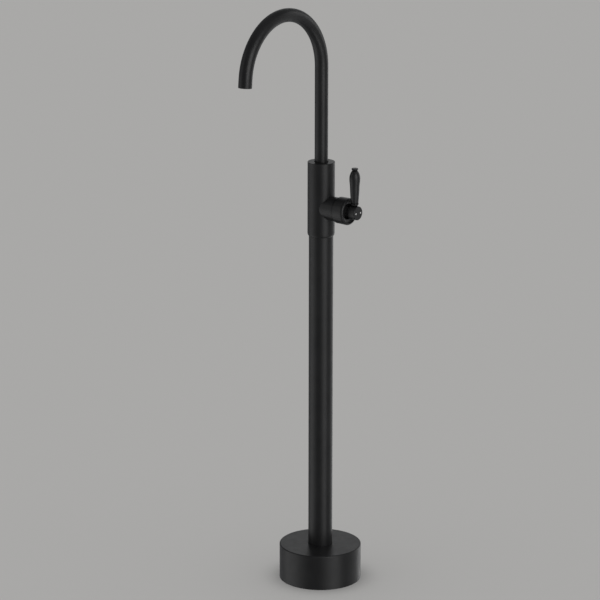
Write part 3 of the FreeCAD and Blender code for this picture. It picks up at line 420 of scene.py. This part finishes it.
def acetal(name, gloss, dark, light, smooth, rough, stretch):
    """Moulded acetal: faintly cloudy, with a soft sheen and flow lines."""
    material, tree, shader = new_material(name, Specular_IOR_Level=gloss)
    place = place_of(tree)
    colour = ramp(tree, noise(tree, place, size=6, detail=4), [(0.3, dark), (0.7, light)])
    roughness = between(tree, noise(tree, place, size=2, detail=3), smooth, rough)
    flow = noise(tree, place_of(tree, stretch), size=1.2, detail=3)
    wire(tree, shader, colour, roughness, bump(tree, flow, depth=0.03, strength=0.3))
    return material


def pale_acetal():
    return acetal("moulded_acetal", gloss=0.5, dark=(0.62, 0.615, 0.58), light=(0.76, 0.755, 0.72),
                  smooth=0.34, rough=0.48, stretch=(1.0, 1.0, 0.3))


def dark_acetal():
    return acetal("charcoal_acetal", gloss=0.35, dark=(0.030, 0.030, 0.031), light=(0.045, 0.045, 0.046),
                  smooth=0.42, rough=0.55, stretch=(0.3, 1.0, 1.0))


def alumina():
    """Lapped ceramic: ivory white, with fine speckle."""
    material, tree, shader = new_material("lapped_alumina", Specular_IOR_Level=0.6)
    place = place_of(tree)
    crystal = 0.4
    cells = add(tree, "ShaderNodeTexVoronoi", None, {"Vector": place, "Scale": 1 / (crystal * MM)})
    speck = noise(tree, place, size=0.6, detail=5)
    mixed = maths(tree, "MULTIPLY", cells.outputs["Distance"], speck)
    colour = ramp(tree, mixed, [(0.02, (0.60, 0.59, 0.55)), (0.14, (0.84, 0.83, 0.79))])
    roughness = between(tree, speck, 0.16, 0.28)
    wire(tree, shader, colour, roughness, bump(tree, speck, depth=0.01, strength=0.3))
    return material


def enamel():
    """Pale grey enamel of the index marks, with a thin gloss."""
    material, tree, shader = new_material("pale_enamel", Specular_IOR_Level=0.5, Coat_Weight=0.2,
                                          Coat_Roughness=0.15)
    cloud = noise(tree, place_of(tree), size=0.9, detail=4)
    colour = ramp(tree, cloud, [(0.3, (0.36, 0.36, 0.36)), (0.7, (0.46, 0.46, 0.455))])
    roughness = between(tree, cloud, 0.26, 0.38)
    wire(tree, shader, colour, roughness, bump(tree, cloud, depth=0.03, strength=0.35))
    return material


def finish_nodes():
    """Every CAD node gets the finish of its slot; turned metals and coats with painted shade lines or painted
    light belong to one node each.
    """
    shared = {"black_coat": black_coat(), "pipe": copper_pipe(), "rubber": rubber(), "polymer": pale_acetal(),
              "ceramic": alumina(), "index_mark": enamel()}
    shell = dark_acetal()
    for node, thing in NODES.items():
        if node in DARK_SHELL:
            material = shell
        elif node in PAINTED_SHADE_LINES or node in PAINTED_LIGHT_ZONES:
            material = black_coat(node)
        elif SLOT_OF[node] in shared:
            material = shared[SLOT_OF[node]]
        else:
            material = turned_metal(node)
        thing.data.materials.clear()
        thing.data.materials.append(material)


# ---------------------------------------------------------------- turned shapes
# A turned piece is a list of rings, each a radius and a height; a radius may depend on the angle.
SEGMENTS = 64               # points round a ring
THREAD_STEPS = 8            # rings for each turn of a thread
THREAD_FLAT = 1 / 14        # half the width of the flats at crest and root, as a share of the pitch
SECTION_STEPS = 20          # rings round a rubber ring's section
SQUEEZE = 0.75              # 1 leaves that section an ellipse, and less makes it squarer
SHARP_ANGLE = 38            # degrees between faces, from which their edge stays sharp
WELD = 1e-7                 # metres between points that become one
EMPTY = 1e-8                # metres; edges shorter than this are taken out
SOCKET_EDGE = 0.15          # chamfer at a key socket's mouth
SOCKET_POINT = 0.4          # depth of the drilled cone under a key socket, as a share of half the key
DOG_EDGE = 0.3              # chamfer of a dog point
# Threads: outer radius, pitch and depth
M4 = (2.0, 0.7, 0.43)
M5 = (2.5, 0.8, 0.49)
M6 = (3.0, 1.0, 0.61)
ADAPTER_THREAD = (19.0, 1.5, 0.92)
INLET_RADIUS = 8.33
INLET_THREAD = (INLET_RADIUS, 1.337, 0.856)


def crest(share):
    """Height of a thread's profile, 0 at the root and 1 at the crest, over one pitch."""
    slope = 0.5 - abs(share % 1.0 - 0.5)
    rise = (slope - THREAD_FLAT) / (0.5 - 2 * THREAD_FLAT)
    return min(1.0, max(0.0, rise))


def thread(size, start, end):
    """Rings of a thread whose ends run out at 45 degrees; start may lie above end."""
    radius, pitch, depth = size
    count = round(abs(end - start) / pitch * THREAD_STEPS)
    rings = []
    for number in range(count + 1):
        height = start + (end - start) * number / count
        ease = min(abs(height - start), abs(height - end))

        def reach(angle, height=height, ease=ease):
            cut = depth * (1 - crest(height / pitch - angle / (2 * math.pi)))
            return radius - max(cut, depth - ease)
        rings.append((reach, height))
    return rings


def hexagon(apothem):
    """Radius of a six-sided key socket."""
    side = math.pi / 3
    return lambda angle: apothem / math.cos((angle + side / 2) % side - side / 2)


def flats(radius, flat):
    """Radius of a round that has two spanner flats across X."""
    def reach(angle):
        across = abs(math.cos(angle))
        return flat / across if radius * across > flat else radius
    return reach


def grub(size, length, key, dog=None):
    """Rings of a grub screw from its tip, at height 0, to its head; a dog is a radius and a length."""
    tip = [(0, 0)]
    start = 0
    if dog:
        radius, start = dog
        tip += [(radius - DOG_EDGE, 0), (radius, DOG_EDGE), (radius, start)]
    half = key / 2
    floor = length - key
    socket = [(hexagon(half + SOCKET_EDGE), length), (hexagon(half), length - SOCKET_EDGE),
              (hexagon(half), floor), (0, floor - half * SOCKET_POINT)]
    return tip + thread(size, start, length) + socket


def round_section(inner, outer, low, high):
    """Rings of a squeezed rubber ring: a rounded section that fills its groove's width and depth."""
    rings = []
    for number in range(SECTION_STEPS):
        turn = 2 * math.pi * number / SECTION_STEPS
        across, up = (math.copysign(abs(part) ** SQUEEZE, part) for part in (math.cos(turn), math.sin(turn)))
        rings.append(((inner + outer) / 2 + (outer - inner) / 2 * across,
                      (low + high) / 2 + (high - low) / 2 * up))
    return rings


def lathe(mesh, foot, along, rings):
    """Turns an outline of rings about the axis that runs from foot along a direction."""
    side = Vector((1, 0, 0)) if along.z else UP          # the axis is upright or level
    third = along.cross(side)
    made = []
    for radius, height in rings:
        ring = []
        for number in range(SEGMENTS):
            angle = 2 * math.pi * number / SEGMENTS
            reach = radius(angle) if callable(radius) else radius
            way = side * math.cos(angle) + third * math.sin(angle)
            ring.append(mesh.verts.new((foot + along * height + way * reach) * MM))
        made.append(ring)
    pairs = list(zip(made, made[1:]))
    if rings[0][0] != 0:                     # a bored piece closes on itself; a solid one ends on the axis
        pairs.append((made[-1], made[0]))
    for here, after in pairs:
        for number in range(SEGMENTS):
            following = (number + 1) % SEGMENTS
            mesh.faces.new((here[number], here[following], after[following], after[number]))


def finish_piece(mesh, node, ending):
    """Closes the mesh and puts it in the CAD node's place, on its body and with its finish."""
    bmesh.ops.remove_doubles(mesh, verts=mesh.verts, dist=WELD)
    bmesh.ops.dissolve_degenerate(mesh, dist=EMPTY, edges=mesh.edges)
    bmesh.ops.recalc_face_normals(mesh, faces=mesh.faces)
    name = node + "_" + ending
    data = bpy.data.meshes.new(name)
    mesh.to_mesh(data)
    mesh.free()
    data.materials.append(NODES[node].data.materials[0])
    data.set_sharp_from_angle(angle=math.radians(SHARP_ANGLE))
    for face in data.polygons:
        face.use_smooth = True
    piece = new_object(name, data)
    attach(piece, BODY_OF[node])
    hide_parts(node)


# ---------------------------------------------------------------- fine detail
# Every piece fills the box of the CAD node that it stands for, on the same axis. Rounds are given by their
# radius, and key sockets by their width across flats.
SET_SCREW_TURNS = (180, 300, 60)         # directions round the column
SET_SCREW_LENGTH = 9.0
SET_SCREW_KEY = 3.0
HUB_SCREW_X = 71.6
HUB_SCREW_KEY = 2.0
KEEPER_KEY = 2.5
KEEPER_DOG = (1.6, 2.8)                  # radius and length of the dog that runs in the spigot's groove
STUD_X = 77.0
ADAPTER_BORE = 16.9
ADAPTER_FOOT_EDGE = 0.5
ADAPTER_SHOULDER_EDGE = 0.4
ADAPTER_THREAD_LENGTH = 18.0
PIPE_Y = 10.4                            # from the column's axis to the axis of either supply pipe
PIPE_SOCKET = 6.05
PIPE_SOCKET_DEPTH = 10.0
PIPE_BORE = 5.0
UNION_EDGE = 0.4
UNION_THREAD_LENGTH = 12.0
UNION_FLAT_DEPTH = 1.5                   # of the spanner flats, into the round
UNION_FLATS = (12.0, 3.0)                # foot and top of the flats, down from the union's top
O_RING_INNER = 10.3
O_RING_WIDTH = 2.6
RISER_SEAL_OUTER = 7.7


def add_set_screws():
    node = "flange_set_screws"
    low, high = box_of(node)
    middle = UP * (low.z + high.z) / 2
    mesh = bmesh.new()
    for turn in SET_SCREW_TURNS:
        way = level(turn)
        tip = way * (high.y - SET_SCREW_LENGTH) + middle
        lathe(mesh, tip, way, grub(M6, SET_SCREW_LENGTH, SET_SCREW_KEY))
    finish_piece(mesh, node, "threaded")


def add_hub_screw():
    node = "hub_grub_screw"
    low, high = box_of(node)
    mesh = bmesh.new()
    lathe(mesh, Vector((HUB_SCREW_X, 0, high.z)), -UP, grub(M4, high.z - low.z, HUB_SCREW_KEY))
    finish_piece(mesh, node, "threaded")


def add_keeper_screw():
    node = "spout_retaining_screw"
    low, high = box_of(node)
    tip = Vector((0, low.y, (low.z + high.z) / 2))
    mesh = bmesh.new()
    lathe(mesh, tip, BACK, grub(M5, high.y - low.y, KEEPER_KEY, KEEPER_DOG))
    finish_piece(mesh, node, "threaded")


def add_lever_stud():
    node = "lever_stud"
    low, high = box_of(node)
    length = high.z - low.z
    mesh = bmesh.new()
    lathe(mesh, Vector((STUD_X, 0, low.z)), UP, [(0, 0), *thread(M6, 0, length), (0, length)])
    finish_piece(mesh, node, "threaded")


def add_column_adapter():
    node = "column_adapter"
    low, high = box_of(node)
    grip = high.x
    shoulder = high.z - ADAPTER_THREAD_LENGTH
    rings = [
        (ADAPTER_BORE, low.z),
        (grip - ADAPTER_FOOT_EDGE, low.z),
        (grip, low.z + ADAPTER_FOOT_EDGE),
        (grip, shoulder - ADAPTER_SHOULDER_EDGE),
        (grip - ADAPTER_SHOULDER_EDGE, shoulder),
        *thread(ADAPTER_THREAD, shoulder, high.z),
        (ADAPTER_BORE, high.z),
    ]
    mesh = bmesh.new()
    lathe(mesh, Vector(), UP, rings)
    finish_piece(mesh, node, "threaded")


def add_inlet_union(node, y):
    low, high = box_of(node)
    foot, top = low.z, high.z
    outer = (high.y - low.y) / 2
    ground = flats(outer, outer - UNION_FLAT_DEPTH)
    flats_foot, flats_top = (top - down for down in UNION_FLATS)
    thread_top = foot + UNION_THREAD_LENGTH
    socket_floor = top - PIPE_SOCKET_DEPTH
    rings = [
        (INLET_RADIUS, foot),
        (outer - UNION_EDGE, foot),
        (outer, foot + UNION_EDGE),
        (outer, flats_foot),
        (ground, flats_foot),
        (ground, flats_top),
        (outer, flats_top),
        (outer, top - UNION_EDGE),
        (outer - UNION_EDGE, top),
        (PIPE_SOCKET, top),
        (PIPE_SOCKET, socket_floor),
        (PIPE_BORE, socket_floor),
        (PIPE_BORE, thread_top),
        *thread(INLET_THREAD, thread_top, foot)[:-1],     # its last ring gives way to the mouth's chamfer
    ]
    mesh = bmesh.new()
    lathe(mesh, Vector((0, y, 0)), UP, rings)
    finish_piece(mesh, node, "threaded")


def add_o_rings():
    node = "spout_o_rings"
    low, high = box_of(node)
    mesh = bmesh.new()
    for foot in (low.z, high.z - O_RING_WIDTH):
        lathe(mesh, Vector(), UP, round_section(O_RING_INNER, high.x, foot, foot + O_RING_WIDTH))
    finish_piece(mesh, node, "round")


def add_riser_seals():
    node = "riser_seals"
    low, high = box_of(node)
    section = round_section(PIPE_SOCKET, RISER_SEAL_OUTER, low.z, high.z)
    mesh = bmesh.new()
    for y in (-PIPE_Y, PIPE_Y):
        lathe(mesh, Vector((0, y, 0)), UP, section)
    finish_piece(mesh, node, "round")


# ---------------------------------------------------------------- the scene
bpy.context.scene.view_settings.view_transform = "Standard"
add_camera()
add_room()
all_but_floor = all_but(add_floor())
add_ceiling()
for panel in PANELS:
    add_panel(all_but_floor, *panel)
finish_nodes()
add_set_screws()
add_hub_screw()
add_keeper_screw()
add_lever_stud()
add_column_adapter()
add_inlet_union("hot_inlet_union", -PIPE_Y)
add_inlet_union("cold_inlet_union", PIPE_Y)
add_o_rings()
add_riser_seals()
